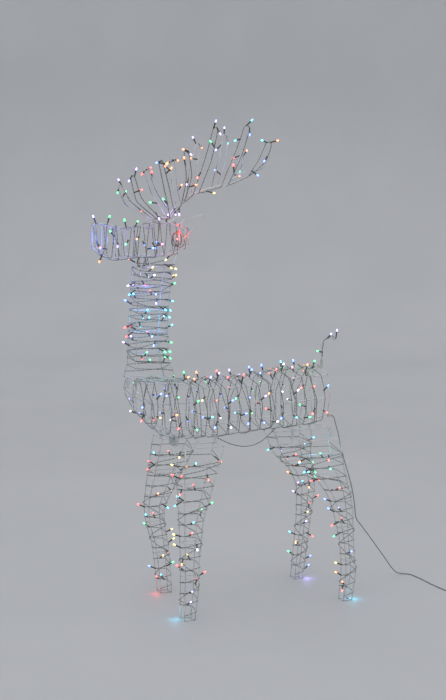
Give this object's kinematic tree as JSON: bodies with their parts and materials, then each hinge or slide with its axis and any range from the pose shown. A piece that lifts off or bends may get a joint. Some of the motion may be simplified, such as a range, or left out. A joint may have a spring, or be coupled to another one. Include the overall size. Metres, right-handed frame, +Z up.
{
  "type": "light up yard reindeer",
  "caption": "Standing wire frame reindeer wound with light strings, with plug-in legs, neck, antlers and tail, and a supply lead to a plug-in adapter",
  "frame": {"origin": "on the ground, below the middle of the figure's bounding box (without the free lead)", "axes": "+Z up, the nose points along -Y, the reindeer's left side is +X"},
  "size_m": [0.5357, 1.3612, 1.5175],
  "materials": {
    "frame_coating": "pale grey-white coated steel rod, satin",
    "string_cable": "very dark green PVC insulation",
    "lamp_holder": "very dark green moulded lamp holder",
    "lamp_lens": "clear LED lens, lit in mixed colours",
    "lead_sheath": "dark green PVC lead",
    "clear_tie": "natural nylon",
    "black_tie": "black twist tie",
    "clear_box": "translucent moulded housing",
    "adapter_shell": "black fine-textured shell",
    "blade_metal": "plated blades",
    "button": "red push button"
  },
  "bodies": {
    "torso": {"torso_left_side": "frame_coating", "torso_right_side": "frame_coating", "torso_back_panel": "frame_coating", "torso_belly_panel": "frame_coating", "front_leg_seat": "frame_coating", "hind_leg_seat": "frame_coating", "neck_seat": "frame_coating", "tail_socket": "frame_coating", "torso_light_string": "string_cable", "torso_lamp_holders": "lamp_holder", "torso_lamp_lenses": "lamp_lens", "torso_cable_ties": "clear_tie", "belly_link_cable": "string_cable", "string_junction_box": "clear_box", "lead_clip": "clear_tie", "supply_lead": "lead_sheath", "supply_lead_coil": "lead_sheath", "coil_tie": "black_tie", "adapter_lead": "lead_sheath", "adapter_body": "adapter_shell", "adapter_blades": "blade_metal"},
    "front_left_leg": {"front_left_leg_frame": "frame_coating", "front_left_leg_string": "string_cable", "front_left_leg_lamp_holders": "lamp_holder", "front_left_leg_lamp_lenses": "lamp_lens"},
    "front_right_leg": {"front_right_leg_frame": "frame_coating", "front_right_leg_string": "string_cable", "front_right_leg_lamp_holders": "lamp_holder", "front_right_leg_lamp_lenses": "lamp_lens"},
    "hind_left_leg": {"hind_left_leg_frame": "frame_coating", "hind_left_leg_string": "string_cable", "hind_left_leg_lamp_holders": "lamp_holder", "hind_left_leg_lamp_lenses": "lamp_lens"},
    "hind_right_leg": {"hind_right_leg_frame": "frame_coating", "hind_right_leg_string": "string_cable", "hind_right_leg_lamp_holders": "lamp_holder", "hind_right_leg_lamp_lenses": "lamp_lens"},
    "neck": {"neck_frame": "frame_coating", "head_frame": "frame_coating", "muzzle_frame": "frame_coating", "left_ear": "frame_coating", "right_ear": "frame_coating", "antler_sockets": "frame_coating", "neck_light_string": "string_cable", "head_light_string": "string_cable", "neck_lamp_holders": "lamp_holder", "neck_lamp_lenses": "lamp_lens"},
    "left_antler": {"left_antler_frame": "frame_coating", "left_antler_string": "string_cable", "left_antler_lamp_holders": "lamp_holder", "left_antler_lamp_lenses": "lamp_lens"},
    "right_antler": {"right_antler_frame": "frame_coating", "right_antler_string": "string_cable", "right_antler_lamp_holders": "lamp_holder", "right_antler_lamp_lenses": "lamp_lens"},
    "tail": {"tail_frame": "frame_coating", "tail_string": "string_cable", "tail_lamp_holders": "lamp_holder", "tail_lamp_lenses": "lamp_lens"},
    "mode_button": {"adapter_button": "button"}
  },
  "joints": [
    {"name": "front_left_leg_pull_out", "type": "slide", "parent": "torso", "child": "front_left_leg", "axis": [0, 0, -1], "range_m": [0, 0.04]},
    {"name": "front_right_leg_pull_out", "type": "slide", "parent": "torso", "child": "front_right_leg", "axis": [0, 0, -1], "range_m": [0, 0.04]},
    {"name": "hind_left_leg_pull_out", "type": "slide", "parent": "torso", "child": "hind_left_leg", "axis": [0, 0, -1], "range_m": [0, 0.04]},
    {"name": "hind_right_leg_pull_out", "type": "slide", "parent": "torso", "child": "hind_right_leg", "axis": [0, 0, -1], "range_m": [0, 0.04]},
    {"name": "neck_lift_off", "type": "slide", "parent": "torso", "child": "neck", "axis": [0, 0, 1], "range_m": [0, 0.04]},
    {"name": "left_antler_lift_off", "type": "slide", "parent": "neck", "child": "left_antler", "axis": [0, 0, 1], "range_m": [0, 0.04]},
    {"name": "right_antler_lift_off", "type": "slide", "parent": "neck", "child": "right_antler", "axis": [0, 0, 1], "range_m": [0, 0.04]},
    {"name": "tail_lift_off", "type": "slide", "parent": "torso", "child": "tail", "axis": [0, 0, 1], "range_m": [0, 0.04]},
    {"name": "mode_button_press", "type": "slide", "parent": "torso", "child": "mode_button", "axis": [0, 0, -1], "range_m": [0, 0.0012], "stiffness_N_per_m": 900}
  ]
}
